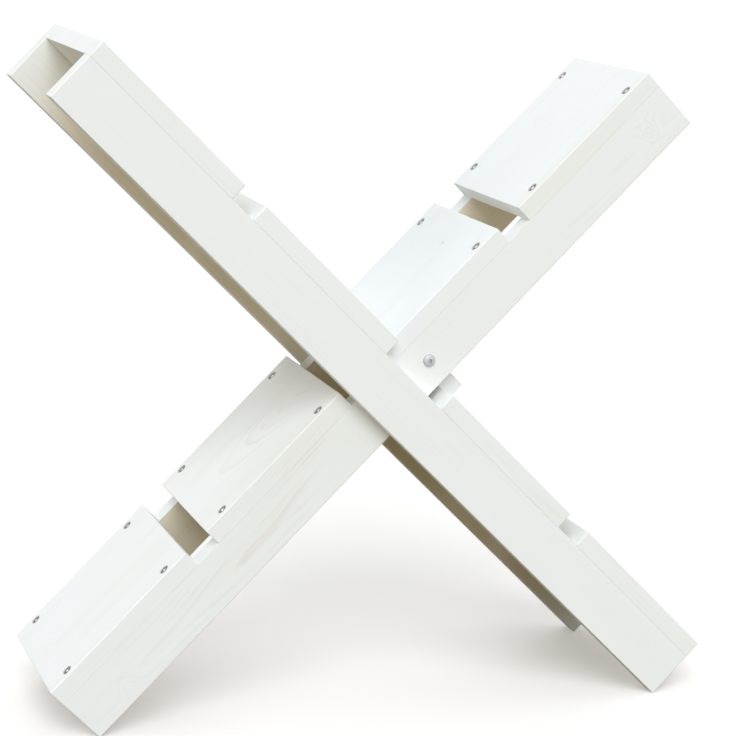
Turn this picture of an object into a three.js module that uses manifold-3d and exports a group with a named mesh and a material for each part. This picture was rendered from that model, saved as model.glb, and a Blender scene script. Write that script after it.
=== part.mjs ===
// An open X-shaped rack of whitewashed softwood, in millimetres, +Z up.
// Two channel-shaped beams cross. Each is two side boards with four cross panels on their upper edges.
// The inner beam passes through the outer one and hangs on a stop board bolted between its side boards.
// The panels above the crossing form an open V. Below it the square-cut board ends are the feet.
import * as THREE from 'three';
import { mergeVertices } from 'three/addons/utils/BufferGeometryUtils.js';
import Module from 'manifold-3d';

const wasm = await Module();
wasm.setup();

// Driving dimensions of the rack.
const RACK_DEPTH = 350;
const ARM_ANGLE = THREE.MathUtils.degToRad(44.6);
const FOOT_REACH = 711;
const OUTER_TOP_REACH = 721;
const INNER_TOP_REACH = 640;

// Boards. A reach is measured along a beam from the point where the two centre lines cross.
const SIDE_WIDTH = 83.7;
const SIDE_THICKNESS = 34;
const PANEL_THICKNESS = 29;
const PANEL_SPACING = 46;
const EDGE_RADIUS = 1.4;
const CORNER_RADIUS = 2;
const EDGE_STEPS = 2;

// Play where the beams cross, and the tail of the inner beam's upper panels below the outer panels.
const OUTER_UPPER_PLAY = 2.8;
const OUTER_LOWER_PLAY = 14.3;
const INNER_LOWER_PLAY = 8.3;
const INNER_PANEL_TAIL = 33.5;

// The stop board, which lies on the outer beam's third panel and crosses the inner beam's channel.
const STOP_THICKNESS = 29;
const STOP_OVERHANG = 45;

// Wood screws, four to a panel, sunk below the panel's face into the side boards' edges.
const SCREW_HEAD_DIAMETER = 12;
const SCREW_DIAMETER = 6;
const SCREW_LENGTH = 75;
const SCREW_TIP = 7;
const SCREW_SUNK = 1;
const SCREW_INSET = 42;
const SCREW_SIDES = 16;

// Domed bolts with a hexagon socket that hold the stop board from the front and from the back.
const BOLT_HEAD_DIAMETER = 20;
const BOLT_DOME = 5;
const BOLT_RIM = 1.2;
const BOLT_DIAMETER = 8;
const BOLT_LENGTH = 90;
const BOLT_SOCKET_WIDTH = 6;
const BOLT_SOCKET_DEPTH = 3;
const BOLT_SIDES = 24;
const DOME_STEPS = 5;

// Clearances.
const SEAT_GAP = 0.3;
const BEAM_GAP = 0.5;
const STOP_END_GAP = 0.5;
const HOLE_CLEARANCE = 0.4;
const PILOT_RUN_OUT = 2;
const CUT_OVERRUN = 2;

const paintedPine = () => new THREE.MeshStandardMaterial({ color: 0xebece9, roughness: 0.62, metalness: 0 });
const zincSteel = () => new THREE.MeshStandardMaterial({ color: 0xa9abab, roughness: 0.42, metalness: 0.9 });

// Values that follow from the sizes above. Z is across a beam, up from its centre line.
const halfSection = (SIDE_WIDTH + SEAT_GAP + PANEL_THICKNESS) / 2;
const sideBottom = -halfSection;
const sideTop = sideBottom + SIDE_WIDTH;
const panelBottom = sideTop + SEAT_GAP;
const panelTop = halfSection;
const outerHalfDepth = RACK_DEPTH / 2;
const innerHalfDepth = outerHalfDepth - SIDE_THICKNESS - BEAM_GAP;
const crossingSine = Math.sin(2 * ARM_ANGLE);
const crossingCosine = Math.cos(2 * ARM_ANGLE);

// How far along one beam the other beam's face lies from the crossing point.
// face is that face's distance from its own centre line, and height is measured across this beam.
function faceAlong(face, height) {
  return (face + height * crossingCosine) / crossingSine;
}

// The same for a board that fills a range of heights: the end of it that lies farther out.
function farthestFace(face, heights) {
  return Math.max(...heights.map((height) => faceAlong(face, height)));
}

// One closed solid from a three.js geometry, with its doubled vertices merged.
function solidFrom(geometry) {
  const bare = geometry.index ? geometry.toNonIndexed() : geometry.clone();
  bare.deleteAttribute('normal');
  bare.deleteAttribute('uv');
  const merged = mergeVertices(bare, 1e-4);
  const corners = merged.index.array;
  const kept = [];
  for (let i = 0; i < corners.length; i += 3) {
    const [a, b, c] = [corners[i], corners[i + 1], corners[i + 2]];
    if (a !== b && b !== c && c !== a) kept.push(a, b, c);
  }
  return new wasm.Manifold(new wasm.Mesh({
    numProp: 3,
    vertProperties: new Float32Array(merged.attributes.position.array),
    triVerts: new Uint32Array(kept),
  }));
}

// A three.js geometry from a finished solid.
function geometryFrom(solid) {
  const mesh = solid.getMesh();
  const indexed = new THREE.BufferGeometry();
  indexed.setAttribute('position', new THREE.BufferAttribute(mesh.vertProperties, 3));
  indexed.setIndex(new THREE.BufferAttribute(mesh.triVerts, 1));
  const faceted = indexed.toNonIndexed();
  faceted.computeVertexNormals();
  return faceted;
}

// A board centred on its own origin, with all twelve edges eased.
function easedBoard(length, depth, height) {
  const outline = new THREE.Shape();
  const [y, z, r] = [depth / 2, height / 2, CORNER_RADIUS];
  outline.moveTo(-y + r, -z);
  outline.lineTo(y - r, -z);
  outline.absarc(y - r, -z + r, r, -Math.PI / 2, 0);
  outline.lineTo(y, z - r);
  outline.absarc(y - r, z - r, r, 0, Math.PI / 2);
  outline.lineTo(-y + r, z);
  outline.absarc(-y + r, z - r, r, Math.PI / 2, Math.PI);
  outline.lineTo(-y, -z + r);
  outline.absarc(-y + r, -z + r, r, Math.PI, 1.5 * Math.PI);
  const geometry = new THREE.ExtrudeGeometry(outline, {
    depth: length - 2 * EDGE_RADIUS,
    steps: 1,
    curveSegments: EDGE_STEPS,
    bevelEnabled: true,
    bevelThickness: EDGE_RADIUS,
    bevelSize: EDGE_RADIUS,
    bevelOffset: -EDGE_RADIUS,
    bevelSegments: EDGE_STEPS,
  });
  geometry.translate(0, 0, EDGE_RADIUS - length / 2);
  const alongX = new THREE.Matrix4().makeBasis(
    new THREE.Vector3(0, 1, 0),
    new THREE.Vector3(0, 0, 1),
    new THREE.Vector3(1, 0, 0),
  );
  return geometry.applyMatrix4(alongX);
}

// A board between two corners in its beam's own frame, as a solid that stands in that frame.
function boardSolid(x, y, z) {
  const geometry = easedBoard(x[1] - x[0], y[1] - y[0], z[1] - z[0]);
  geometry.translate((x[0] + x[1]) / 2, (y[0] + y[1]) / 2, (z[0] + z[1]) / 2);
  return solidFrom(geometry);
}

// The profile of a countersunk wood screw, from its head's middle down to its point.
// Height zero is the panel's face. A hole for it is wider by grow, and open to above the face.
function screwProfile(grow) {
  const headTop = grow > 0 ? CUT_OVERRUN : -SCREW_SUNK;
  const headRadius = SCREW_HEAD_DIAMETER / 2 + grow;
  const shankRadius = SCREW_DIAMETER / 2 + grow;
  const coneTop = -SCREW_SUNK;
  const coneBottom = coneTop - (SCREW_HEAD_DIAMETER - SCREW_DIAMETER) / 2;
  const point = coneTop - SCREW_LENGTH - (grow > 0 ? PILOT_RUN_OUT : 0);
  const points = [new THREE.Vector2(0, headTop), new THREE.Vector2(headRadius, headTop)];
  if (grow > 0) points.push(new THREE.Vector2(headRadius, coneTop));
  points.push(new THREE.Vector2(shankRadius, coneBottom));
  points.push(new THREE.Vector2(shankRadius, point + SCREW_TIP));
  points.push(new THREE.Vector2(0, point));
  return points.reverse();
}

// A screw, or the hole for one, standing on Z at a place on a panel's face.
function screwSolid(grow, place) {
  const geometry = new THREE.LatheGeometry(screwProfile(grow), SCREW_SIDES);
  geometry.rotateX(Math.PI / 2);
  geometry.translate(place.x, place.y, place.z);
  return solidFrom(geometry);
}

// The profile of a domed bolt, from its end up to the middle of its head. Height zero is under the head.
function boltProfile() {
  const points = [
    new THREE.Vector2(0, -BOLT_LENGTH),
    new THREE.Vector2(BOLT_DIAMETER / 4, -BOLT_LENGTH),
    new THREE.Vector2(BOLT_DIAMETER / 2, -BOLT_LENGTH + BOLT_DIAMETER / 4),
    new THREE.Vector2(BOLT_DIAMETER / 2, 0),
    new THREE.Vector2(BOLT_HEAD_DIAMETER / 2, 0),
  ];
  for (let step = 0; step <= DOME_STEPS; step += 1) {
    const turn = (step / DOME_STEPS) * (Math.PI / 2);
    const radius = (BOLT_HEAD_DIAMETER / 2) * Math.cos(turn);
    const height = BOLT_RIM + (BOLT_DOME - BOLT_RIM) * Math.sin(turn);
    points.push(new THREE.Vector2(step === DOME_STEPS ? 0 : radius, height));
  }
  return points;
}

// A bolt whose head looks along outward, which is -1 for the front and 1 for the back.
function boltSolid(outward, place) {
  const body = new THREE.LatheGeometry(boltProfile(), BOLT_SIDES);
  const socketRadius = BOLT_SOCKET_WIDTH / Math.sqrt(3);
  const socket = new THREE.CylinderGeometry(socketRadius, socketRadius, BOLT_SOCKET_DEPTH + CUT_OVERRUN, 6);
  socket.translate(0, BOLT_DOME + (CUT_OVERRUN - BOLT_SOCKET_DEPTH) / 2, 0);
  const turned = [body, socket].map((geometry) => {
    if (outward < 0) geometry.rotateX(Math.PI);
    geometry.translate(place.x, place.y, place.z);
    return solidFrom(geometry);
  });
  return turned[0].subtract(turned[1]);
}

// A round hole along Y between two depths, for a bolt.
function boltHole(x, z, y) {
  const radius = BOLT_DIAMETER / 2 + HOLE_CLEARANCE;
  const geometry = new THREE.CylinderGeometry(radius, radius, y[1] - y[0], BOLT_SIDES);
  geometry.translate(x, (y[0] + y[1]) / 2, z);
  return solidFrom(geometry);
}

function cutAll(solid, holes) {
  return holes.reduce((rest, hole) => rest.subtract(hole), solid);
}

function addMesh(parent, name, solid, material) {
  const mesh = new THREE.Mesh(geometryFrom(solid), material);
  mesh.name = name;
  parent.add(mesh);
}

// Two panels of equal length between a start near the crossing and a board end, with one space between.
function panelPair(start, end) {
  const direction = Math.sign(end - start);
  const length = (Math.abs(end - start) - PANEL_SPACING) / 2;
  const farPair = [end - direction * length, end];
  const nearPair = [start, start + direction * length];
  return [farPair, nearPair].map((pair) => [Math.min(...pair), Math.max(...pair)]);
}

// The middles of the four screws of a panel: near each end, over the middle of each side board.
function screwPlaces(panel, halfDepth) {
  const rows = [panel[0] + SCREW_INSET, panel[1] - SCREW_INSET];
  const sideMiddle = halfDepth - SIDE_THICKNESS / 2;
  return rows.flatMap((x) => [-sideMiddle, sideMiddle].map((y) => new THREE.Vector3(x, y, panelTop)));
}

// One channel beam: two side boards, the panels on their edges and the screws that hold them.
function addBeam(beam, name, ends, halfDepth, panels, sideHoles) {
  const places = panels.map((panel) => screwPlaces(panel, halfDepth));
  const shankHoles = places.flat().map((place) => screwSolid(HOLE_CLEARANCE, place));
  const sides = { front: -1, back: 1 };
  for (const [side, sign] of Object.entries(sides)) {
    const faces = [sign * halfDepth, sign * (halfDepth - SIDE_THICKNESS)].sort((a, b) => a - b);
    const board = boardSolid(ends, faces, [sideBottom, sideTop]);
    const ownHoles = shankHoles.filter((hole, index) => Math.sign(places.flat()[index].y) === sign);
    const finished = cutAll(board, [...ownHoles, ...sideHoles]);
    addMesh(beam, `${name}_side_board_${side}`, finished, paintedPine());
  }
  panels.forEach((panel, row) => {
    const board = boardSolid(panel, [-halfDepth, halfDepth], [panelBottom, panelTop]);
    const holes = places[row].map((place) => screwSolid(HOLE_CLEARANCE, place));
    const panelName = `${name}_panel_${row + 1}`;
    addMesh(beam, panelName, cutAll(board, holes), paintedPine());
    places[row].forEach((place, index) => {
      addMesh(beam, `${panelName}_screw_${index + 1}`, screwSolid(0, place), zincSteel());
    });
  });
}

const rack = new THREE.Group();
const outerBeam = new THREE.Group();
const innerBeam = new THREE.Group();
outerBeam.rotation.y = ARM_ANGLE;
innerBeam.rotation.y = -ARM_ANGLE;
rack.add(outerBeam, innerBeam);

// Where the panels stop at the crossing. The outer beam slopes down to +X, the inner one rises to +X.
const panelHeights = [panelBottom, panelTop];
const outerUpperStart = -farthestFace(panelTop, panelHeights.map((height) => -height)) - OUTER_UPPER_PLAY;
const outerLowerStart = farthestFace(-sideBottom, panelHeights) + OUTER_LOWER_PLAY;
const innerLowerStart = -farthestFace(-sideBottom, panelHeights) - INNER_LOWER_PLAY;
const innerUpperStart = faceAlong(panelBottom, 0) - INNER_PANEL_TAIL;

const outerPanels = [
  ...panelPair(outerUpperStart, -OUTER_TOP_REACH),
  ...panelPair(outerLowerStart, FOOT_REACH).reverse(),
];
const innerPanels = [
  ...panelPair(innerUpperStart, INNER_TOP_REACH),
  ...panelPair(innerLowerStart, -FOOT_REACH).reverse(),
];

// The stop board lies on the outer panels' faces, from under the inner panels to past the open side.
const stopBottom = panelTop + SEAT_GAP;
const stopHeights = [stopBottom, stopBottom + STOP_THICKNESS];
const stopLeft = -Math.min(...stopHeights.map((height) => faceAlong(panelBottom, -height))) + SEAT_GAP;
const stopRight = faceAlong(-sideBottom, panelTop) + STOP_OVERHANG;
const stopHalfDepth = innerHalfDepth - SIDE_THICKNESS - STOP_END_GAP;

// The bolts run along Y, at the middle of the stop board's thickness and of the side boards' width.
const boltHeightOuter = stopBottom + STOP_THICKNESS / 2;
const boltHeightInner = (sideBottom + sideTop) / 2;
const boltAlongOuter = (boltHeightOuter * crossingCosine - boltHeightInner) / crossingSine;
const boltAlongInner = (boltHeightOuter - boltHeightInner * crossingCosine) / crossingSine;
const boltSeat = innerHalfDepth + SEAT_GAP;
const boltEnd = boltSeat - BOLT_LENGTH - HOLE_CLEARANCE;

const throughHole = boltHole(boltAlongInner, boltHeightInner, [-outerHalfDepth, outerHalfDepth]);
addBeam(outerBeam, 'outer', [-OUTER_TOP_REACH, FOOT_REACH], outerHalfDepth, outerPanels, []);
addBeam(innerBeam, 'inner', [-FOOT_REACH, INNER_TOP_REACH], innerHalfDepth, innerPanels, [throughHole]);

const stopBoard = boardSolid([stopLeft, stopRight], [-stopHalfDepth, stopHalfDepth], stopHeights);
const stopHoles = [
  boltHole(boltAlongOuter, boltHeightOuter, [-outerHalfDepth, -boltEnd]),
  boltHole(boltAlongOuter, boltHeightOuter, [boltEnd, outerHalfDepth]),
];
addMesh(outerBeam, 'stop_board', cutAll(stopBoard, stopHoles), paintedPine());
for (const [side, sign] of Object.entries({ front: -1, back: 1 })) {
  const place = new THREE.Vector3(boltAlongInner, sign * boltSeat, boltHeightInner);
  addMesh(innerBeam, `stop_bolt_${side}`, boltSolid(sign, place), zincSteel());
}

// The origin is the middle of the footprint, on the ground under the lowest board ends.
rack.updateMatrixWorld(true);
const bounds = new THREE.Box3().setFromObject(rack, true);
const middle = bounds.getCenter(new THREE.Vector3());
rack.position.set(-middle.x, -middle.y, -bounds.min.z);
rack.updateMatrixWorld(true);

export default rack;
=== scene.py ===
"""Looks of an X-shaped rack of whitewashed pine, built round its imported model.

Two channel beams cross. Each board is made again as a fine surface with eased arrises, bored screw
holes and a growth field, from which one pine finish draws its annual rings, knots and fibres. Screws
and bolts are turned surfaces with their recesses and threads. Lengths are in metres, and in
millimetres where a name ends in MM.
"""

from __future__ import annotations

import logging
from dataclasses import dataclass, field
from enum import Enum
from math import ceil, cos, pi, radians, sin, sqrt

import bmesh
import bpy
import numpy as np
from mathutils import Matrix


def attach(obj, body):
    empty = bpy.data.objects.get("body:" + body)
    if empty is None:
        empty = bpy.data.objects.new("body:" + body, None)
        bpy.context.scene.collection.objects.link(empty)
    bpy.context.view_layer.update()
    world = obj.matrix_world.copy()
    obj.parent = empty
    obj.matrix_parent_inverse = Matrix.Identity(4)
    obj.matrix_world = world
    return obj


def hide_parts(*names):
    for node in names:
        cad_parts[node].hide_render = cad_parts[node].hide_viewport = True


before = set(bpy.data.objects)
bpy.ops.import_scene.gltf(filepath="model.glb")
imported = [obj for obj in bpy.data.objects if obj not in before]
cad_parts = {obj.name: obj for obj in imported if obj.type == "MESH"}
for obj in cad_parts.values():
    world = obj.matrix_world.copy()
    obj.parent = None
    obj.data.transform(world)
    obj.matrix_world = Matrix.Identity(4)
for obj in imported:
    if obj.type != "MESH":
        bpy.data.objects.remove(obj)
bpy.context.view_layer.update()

log = logging.getLogger("rack")

Array = np.ndarray
Material = bpy.types.Material
Mesh = bpy.types.Mesh
Object = bpy.types.Object
Socket = bpy.types.NodeSocket
Tree = bpy.types.NodeTree
Pair = tuple[float, float]
Point = tuple[float, float, float]
Colour = tuple[float, float, float, float]

MM = 0.001
ARM_ANGLE = radians(44.6)
BODY = "root"

# A beam has four panels, and a panel has four screws.
PANELS = range(1, 5)
SCREWS = range(1, 5)

# A board's eased arrises and its grid. Where a panel lies on a side board, both keep nearly square
# edges and the panel comes down to a hair's breadth.
EASE_MM = 1.4
SEAT_EASE_MM = 0.12
SEAT_DROP_MM = 0.27
EASE_STEPS = 3
CELL_MM = 5.0
SHARP_ANGLE = radians(34)

# A bore's sides, and how many radii away grid lines lie round it. The grid turns from round to square
# out to BORE_REACH. The slacks meet rounding: as a share of a radius, and as a distance from a face.
BORE_SIDES = 32
BORE_RINGS = (1.1, 1.3, 1.6, 2.0)
BORE_REACH = 2.0
RIM_SLACK = 1.0001
FACE_SLACK = 1e-6

# A log's heart line sways far and shakes a little. HEART_LENGTHS are the wave lengths of both, for Y
# and then for Z. Good and bad years crowd its uneven rings in long and short spells, each a depth and
# a length in rings. Fibres of two boards lie far apart in one field.
RING_WIDTH = 0.0042
HEART_SWAY = 0.0035
HEART_SHAKE = 0.0009
HEART_LENGTHS = ((0.9, 0.21), (0.8, 0.17))
RING_UNEVEN = 0.0007
UNEVEN_LENGTHS = (0.16, 0.05, 0.05)
LONG_SPELL = (0.6, 5.3)
SHORT_SPELL = (0.35, 2.1)
FIBRE_APART = 3.1

# A knot's radius at the heart, and how many radii away the rings swell and show through the wash.
# KNOT_FAR stands for no knot near.
KNOT_CORE = 0.0022
KNOT_SPREAD = 1.9
KNOT_REACH = 3.2
KNOT_FAR = 6.0

# How far the surface is let down: by the plane's waves, over a knot, along an arris, and where that
# is worn. Lengths of the waves and the wear follow, and how much of its wash an arris has lost.
PLANED_MM = 0.05
KNOT_SUNK_MM = 0.12
ARRIS_MM = 0.1
ARRIS_WEAR_MM = 0.5
PLANE_LENGTHS = (0.09, 0.05, 0.05)
WEAR_LENGTHS = (0.05, 0.03, 0.03)
ARRIS_BARE = 0.35
ARRIS_WORN_BARE = 1.3

# A surface starts to count as facing some way at the first cosine, and fully does at the second.
FACING = (0.5, 0.9)

# How much of the grain shows through the wash, in even steps along a board, and on all the others. The
# outer front board took the wash well. The inner one took it badly below its middle, and so did the
# panel over it.
USUAL_WASH = 0.8
THIN_WASH = {
    "outer_side_board_front": (0.35, 0.45, 0.6, 0.4, 0.35),
    "inner_side_board_front": (0.45, 1.1, 1.75, 1.2, 0.6, 0.7, 1.3),
    "inner_panel_3": (0.8, 1.0, 1.4, 1.1, 0.8),
}

# Painted shade within a channel: its faces are painted darker and warmer, and the shade rises from nothing
# to full between these distances from the beam's open ends, where light gets in.
SHADE_FADE_REACH = (-0.02, 0.17)

# Painted shade in the screw holes: the wash round a bore's rim is painted this much of the way to the grey
# of the bore's wall.
RIM_SHADE = 0.5

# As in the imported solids: a hole's play, shank radii, how far a pilot hole runs past its screw, and
# half the width of a bolt's socket.
HOLE_CLEARANCE_MM = 0.4
SCREW_RADIUS_MM = 3.0
SCREW_RUN_OUT_MM = 2.0
BOLT_RADIUS_MM = 4.0
BOLT_SOCKET_MM = 3.0

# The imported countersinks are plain. Here the driven head has pressed a chamfer round each.
RIM_CHAMFER_MM = 1.7

# A cross recess: its arm as a share of the head's radius, and half an arm's width as one of its length.
CROSS_LENGTH = 0.4
CROSS_ARM = 0.3

# A turned surface's sides, and a thread's rings to a turn. The neck is a little slimmer than the
# crests, which are steeper than an even wave. Below it the thread rises over some turns, and it tapers
# over some to a blunt tip.
TURNED_SIDES = 32
THREAD_STEPS = 5
NECK_SHARE = 0.98
NECK_FILLET = 0.1
THREAD_BELOW_NECK = 0.0005
RISE_TURNS = 1.5
TAPER_TURNS = 1.6
TIP_SHARE = 0.08
CREST_STEEPNESS = 1.6


class Beam(Enum):
    """The two crossing beams, each with the sign of its turn about the depth axis."""

    OUTER = 1
    INNER = -1

    @property
    def label(self) -> str:
        """The beam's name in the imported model."""
        return self.name.lower()

    def axes(self) -> Array:
        """Gives the beam's own axes.

        Returns:
            Rows for X along the beam, Y through the rack's depth and Z up across the beam.
        """
        angle = self.value * ARM_ANGLE
        c, s = cos(angle), sin(angle)
        return np.array([[c, 0.0, -s], [0.0, 1.0, 0.0], [s, 0.0, c]])

    def to_rack(self, points: Array) -> Array:
        """Turns points from the beam's axes to the rack's."""
        return points @ self.axes()

    def extent(self, node: str) -> tuple[Array, Array]:
        """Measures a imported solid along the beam's axes.

        Args:
            node: The solid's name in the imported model.

        Returns:
            Its lowest and highest place on each axis.
        """
        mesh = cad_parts[node].data
        flat = np.empty(len(mesh.vertices) * 3, np.float32)
        mesh.vertices.foreach_get("co", flat)
        turned = flat.reshape(-1, 3).astype(float) @ self.axes().T
        return turned.min(0), turned.max(0)


class Stuff(Enum):
    """What a piece is made of, with the name of a material slot."""

    WOOD = "whitewashed_pine"
    STEEL = "zinc_steel"

    def piece(
        self, node: str, points: Array, faces: tuple[Array, ...], fields: dict[str, Array], finish: Material
    ) -> Object:
        """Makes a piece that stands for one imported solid.

        Its faces are turned outwards, its sharp edges marked, and large flat faces lead its shading.

        Args:
            node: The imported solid.
            points: The piece's points in the rack's frame.
            faces: Its faces, in arrays of as many corners.
            fields: Values at its points, which the finish reads.
            finish: Its material.

        Returns:
            The piece, riding on the rack's body.
        """
        mesh = bpy.data.meshes.new(f"{node}_{self.name.lower()}")
        mesh.from_pydata(points.tolist(), [], [face for part in faces for face in part.tolist()])
        for name, values in fields.items():
            kind, holder = ("FLOAT", "value") if values.ndim == 1 else ("FLOAT_VECTOR", "vector")
            layer = mesh.attributes.new(name, kind, "POINT")
            layer.data.foreach_set(holder, np.ascontiguousarray(values, np.float32).ravel())
        work = bmesh.new()
        work.from_mesh(mesh)
        bmesh.ops.recalc_face_normals(work, faces=work.faces)
        work.to_mesh(mesh)
        work.free()
        mesh.polygons.foreach_set("use_smooth", np.ones(len(mesh.polygons), bool))
        mesh.set_sharp_from_angle(angle=SHARP_ANGLE)
        mesh.materials.append(finish)
        mesh.update()
        piece = link_new(mesh)
        weigh = piece.modifiers.new("flat_faces_lead", "WEIGHTED_NORMAL")
        weigh.keep_sharp = True
        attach(piece, BODY)
        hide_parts(node)
        log.info("%s: %d faces", piece.name, len(mesh.polygons))
        return piece


def link_new(data: bpy.types.ID, axes: tuple[Array, ...] = (), place: Point = (0.0, 0.0, 0.0)) -> Object:
    """Puts a new object into the scene.

    Args:
        data: Its mesh, light or camera, which names it.
        axes: Where its X, Y and Z point, if it is turned.
        place: Where it stands then.

    Returns:
        The object.
    """
    made = bpy.data.objects.new(data.name, data)
    bpy.context.scene.collection.objects.link(made)
    if axes:
        turned = np.eye(4)
        turned[:3, :3] = np.stack(axes, 1)
        turned[:3, 3] = place
        made.matrix_world = Matrix(turned.tolist())
    return made


def linear(code: str) -> Colour:
    """Turns an sRGB hex colour to linear light: a straight line in the deep shade, a power above.

    Args:
        code: Six hex digits.

    Returns:
        Red, green, blue and an alpha of one.
    """
    parts = [int(code[i : i + 2], 16) / 255 for i in (0, 2, 4)]
    light = [p / 12.92 if p <= 0.04045 else ((p + 0.055) / 1.055) ** 2.4 for p in parts]
    return (light[0], light[1], light[2], 1.0)


def add_node(
    tree: Tree, kind: str, inputs: dict[int | str, object] | None = None, **settings: object
) -> bpy.types.Node:
    """Adds a node with its settings and links.

    Args:
        tree: The node tree.
        kind: The node's type, without ShaderNode in front.
        inputs: Input sockets by name or number, each with a socket to join or a value to hold.
        settings: The node's own properties.

    Returns:
        The node.
    """
    made = tree.nodes.new("ShaderNode" + kind)
    for name, value in settings.items():
        setattr(made, name, value)
    for key, value in (inputs or {}).items():
        if isinstance(value, Socket):
            tree.links.new(value, made.inputs[key])
        else:
            made.inputs[key].default_value = value
    return made


def new_material(name: str) -> tuple[Material, Tree]:
    """Makes an empty node material.

    Args:
        name: Its name.

    Returns:
        The material and its tree.
    """
    material = bpy.data.materials.new(name)
    material.use_nodes = True
    material.node_tree.nodes.clear()
    return material, material.node_tree


def waves(points: Array, lengths: tuple[float, ...], seed: int) -> Array:
    """A smooth random field between about -1 and 1: the raised mean of a few random sine waves.

    A coordinate is divided by its wave length first, which draws the field out along an axis.

    Args:
        points: One row a point.
        lengths: A wave length for each coordinate.
        seed: Chooses directions and phases.

    Returns:
        One value a point.
    """
    count, raised = 7, 1.6
    rng = np.random.default_rng(seed)
    directions = rng.normal(size=(count, len(lengths)))
    directions /= np.linalg.norm(directions, axis=1, keepdims=True)
    phases = rng.uniform(0, 2 * pi, count)
    turns = 2 * pi * (points / np.array(lengths)) @ directions.T + phases
    return np.sin(turns).mean(1) * raised


def smooth_step(value: Array, low: float, high: float) -> Array:
    """Rises from 0 at low to 1 at high along a cubic with level ends."""
    t = np.clip((value - low) / (high - low), 0, 1)
    return t * t * (3 - 2 * t)


@dataclass(frozen=True)
class Bore:
    """A round hole in a board: steps are radius and depth in metres, from the rim inwards."""

    axis: int
    side: int
    centre: Pair
    steps: tuple[Pair, ...]
    through: bool

    @property
    def rim(self) -> float:
        """The radius at the board's face."""
        return self.steps[0][0]

    @property
    def cross(self) -> list[int]:
        """The two axes across the bore."""
        return [a for a in range(3) if a != self.axis]

    @property
    def open_sides(self) -> tuple[int, ...]:
        """The sides of the board that it opens."""
        return (self.side, -self.side) if self.through else (self.side,)


@dataclass(frozen=True)
class Knot:
    """A branch that grew out of the heart.

    It has its place along the board, its turn about the heart, the slope of its cone and how many
    rings it swells. Only one cut through shows its own heart.
    """

    along: float
    turn: float
    slope: float
    swell: float = 3.0
    cut: bool = False


@dataclass(frozen=True)
class Grain:
    """How a board was cut from its log: the heart's place across it, the heart's drift, and knots."""

    heart: Pair
    drift: Pair
    knots: tuple[Knot, ...]
    seed: int

    def out_from_heart(self, local: Array, number: int) -> Array:
        """Measures how far points lie from the wandering heart line.

        Args:
            local: Points from the board's middle.
            number: 0 along Y, 1 along Z.

        Returns:
            A signed distance for each.
        """
        along = local[:, :1]
        sway, shake = HEART_LENGTHS[number]
        seed = self.seed + 2 * number
        wander = HEART_SWAY * waves(along, (sway,), seed) + HEART_SHAKE * waves(along, (shake,), seed + 1)
        return local[:, 1 + number] - self.heart[number] - self.drift[number] * local[:, 0] - wander

    def fields(self, local: Array) -> dict[str, Array]:
        """Works out the growth of the wood at points of a board.

        The distance from the heart line gives the ring number. A knot is a cone from the heart outwards,
        and rings swell round it by a bell curve of the distance to its axis.

        Args:
            local: Points from the board's middle, X along the grain.

        Returns:
            rings, the count of annual rings; knot, the distance to the nearest cut knot in its radii;
            swell, 1 over a knot and 0 away from it; and fibre, places along, out from and round the
            heart, which follow the grain.
        """
        along = local[:, 0]
        out_y, out_z = self.out_from_heart(local, 0), self.out_from_heart(local, 1)
        radius = np.hypot(out_y, out_z)
        angle = np.arctan2(out_z, out_y)
        grown = radius + RING_UNEVEN * waves(local, UNEVEN_LENGTHS, self.seed + 4)
        nearest = np.full(len(along), KNOT_FAR)
        swell = np.zeros(len(along))
        for knot in self.knots:
            apart = np.abs((angle - knot.turn + pi) % (2 * pi) - pi)
            size = KNOT_CORE + knot.slope * radius
            distance = np.hypot(along - knot.along, radius * np.minimum(apart, pi / 2)) / size
            grown = grown + knot.swell * RING_WIDTH * np.exp(-((distance / KNOT_SPREAD) ** 2))
            swell = np.maximum(swell, np.exp(-((distance / KNOT_REACH) ** 2)))
            if knot.cut:
                nearest = np.minimum(nearest, distance)
        count = grown / RING_WIDTH
        rings = count + LONG_SPELL[0] * np.sin(count / LONG_SPELL[1] + self.seed)
        rings = rings + SHORT_SPELL[0] * np.sin(count / SHORT_SPELL[1])
        fibre = np.stack([along + FIBRE_APART * self.seed, grown, radius * angle], 1)
        return {"rings": rings, "knot": nearest, "swell": swell, "fibre": fibre}


def grid_lines(span: Pair, eases: Pair, bores: set[Pair]) -> Array:
    """Places a board's grid lines along one axis.

    Lines lie at even turns round arrises (ease times the tangent of the turn) and on the squares round
    bores, and a cell apart between.

    Args:
        span: Where the board starts and ends.
        eases: How far its arrises are eased at the start and the end.
        bores: Middle and rim radius of each bore.

    Returns:
        The lines in rising order.
    """
    low, high = span[0] + eases[0], span[1] - eases[1]
    cell = CELL_MM * MM
    turned = np.tan(np.linspace(0, pi / 4, EASE_STEPS + 1))
    inner = np.linspace(low, high, max(2, ceil((high - low) / cell) + 1))
    across = np.tan(np.linspace(-pi / 4, pi / 4, BORE_SIDES // 4 + 1))
    rings = np.array(BORE_RINGS)
    for middle, rim in bores:
        inner = inner[np.abs(inner - middle) > BORE_REACH * rim + cell / 3]
        around = np.concatenate([across, rings, -rings]) * rim
        inner = np.concatenate([inner, middle + around])
    every = np.concatenate([low - eases[0] * turned, inner, high + eases[1] * turned])
    return np.unique(np.round(every, 8))


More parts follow.
